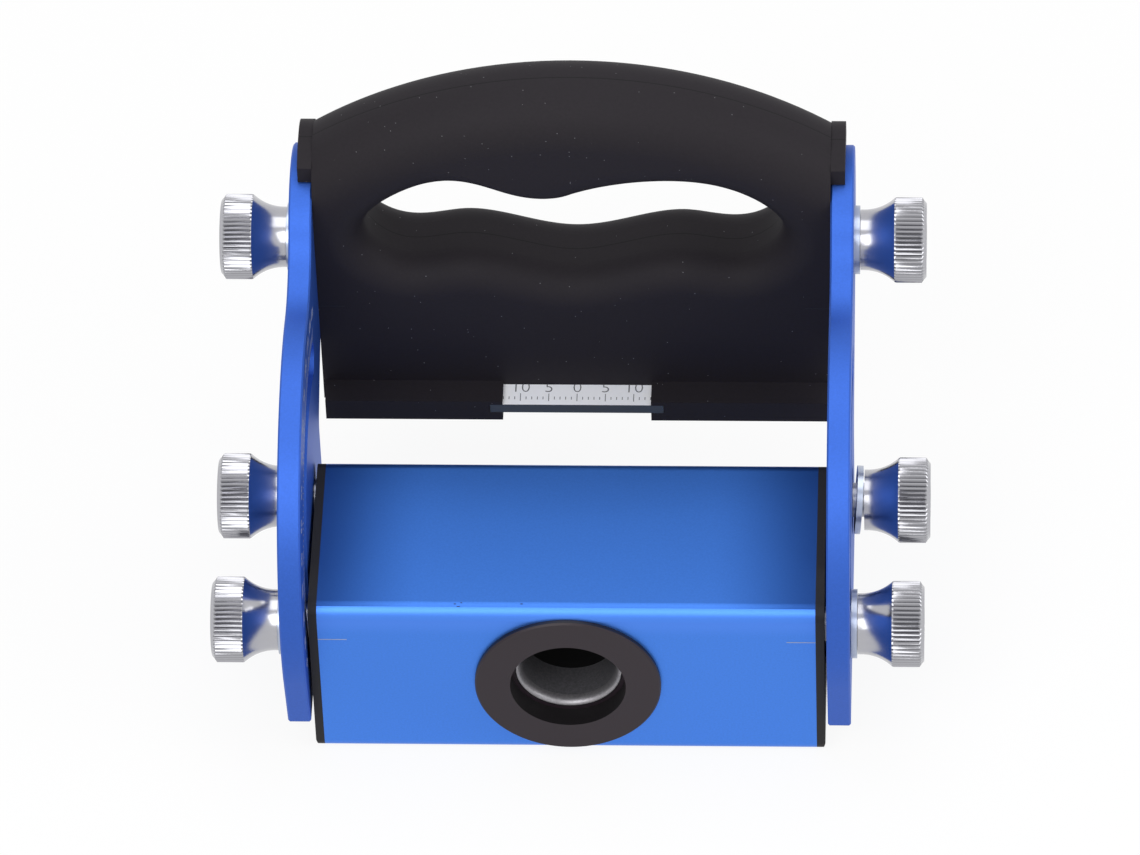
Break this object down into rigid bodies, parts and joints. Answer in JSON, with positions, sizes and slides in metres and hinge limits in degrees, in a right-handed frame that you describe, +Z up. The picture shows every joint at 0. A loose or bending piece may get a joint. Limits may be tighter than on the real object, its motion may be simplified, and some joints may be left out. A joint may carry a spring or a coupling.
{
  "type": "angled drill guide",
  "caption": "Hand-held guide with a bushed bar that tilts between slotted side plates under a moulded grip, for drilling posts and rails at an angle.",
  "frame": {"origin": "on the guide bore's axis, in the plane of the drill block's front face", "axes": "+X to the right across the guide, +Y away from the user along the bore, +Z up with the guide standing on the drill block's underside"},
  "size_m": [0.1243, 0.0867, 0.0972],
  "materials": {
    "blue_anodised": "satin blue anodising",
    "black_plastic": "matte moulded",
    "black_pad": "matte",
    "ruler_white": "printed",
    "dark_sleeve": "blackened",
    "bush_steel": "turned",
    "stud_steel": "threaded",
    "washer_steel": "zinc plated",
    "nut_chrome": "polished"
  },
  "bodies": {
    "frame": {"left_side_plate": "blue_anodised", "right_side_plate": "blue_anodised", "grip_handle": "black_plastic", "ruler_plate": "ruler_white", "left_top_stud": "stud_steel", "left_top_washer": "washer_steel", "right_top_stud": "stud_steel", "right_top_washer": "washer_steel"},
    "drill_block": {"drill_block": "blue_anodised", "guide_sleeve": "dark_sleeve", "drill_bush": "bush_steel", "left_end_cap": "black_pad", "left_pivot_stud": "stud_steel", "left_clamp_stud": "stud_steel", "left_pivot_washer": "washer_steel", "left_clamp_washer": "washer_steel", "right_end_cap": "black_pad", "right_pivot_stud": "stud_steel", "right_clamp_stud": "stud_steel", "right_pivot_washer": "washer_steel", "right_clamp_washer": "washer_steel"},
    "left_top_nut": {"left_top_nut": "nut_chrome"},
    "left_pivot_nut": {"left_pivot_nut": "nut_chrome"},
    "left_clamp_nut": {"left_clamp_nut": "nut_chrome"},
    "right_top_nut": {"right_top_nut": "nut_chrome"},
    "right_pivot_nut": {"right_pivot_nut": "nut_chrome"},
    "right_clamp_nut": {"right_clamp_nut": "nut_chrome"}
  },
  "joints": [
    {"name": "block_tilt", "type": "hinge", "parent": "frame", "child": "drill_block", "pos_m": [0, 0.0315, 0.013], "axis": [-1, 0, 0], "range_deg": [0, 130]},
    {"name": "left_top_nut_turn", "type": "hinge", "parent": "frame", "child": "left_top_nut", "pos_m": [-0.055, 0.065, 0.0436], "axis": [-1, 0, 0], "continuous": true},
    {"name": "left_pivot_nut_turn", "type": "hinge", "parent": "drill_block", "child": "left_pivot_nut", "pos_m": [-0.055, 0.0315, 0.013], "axis": [-1, 0, 0], "continuous": true},
    {"name": "left_clamp_nut_turn", "type": "hinge", "parent": "drill_block", "child": "left_clamp_nut", "pos_m": [-0.055, 0.00703, 0.00789], "axis": [-1, 0, 0], "continuous": true},
    {"name": "right_top_nut_turn", "type": "hinge", "parent": "frame", "child": "right_top_nut", "pos_m": [0.055, 0.065, 0.0436], "axis": [1, 0, 0], "continuous": true},
    {"name": "right_pivot_nut_turn", "type": "hinge", "parent": "drill_block", "child": "right_pivot_nut", "pos_m": [0.055, 0.0315, 0.013], "axis": [1, 0, 0], "continuous": true},
    {"name": "right_clamp_nut_turn", "type": "hinge", "parent": "drill_block", "child": "right_clamp_nut", "pos_m": [0.055, 0.00703, 0.00789], "axis": [1, 0, 0], "continuous": true}
  ]
}
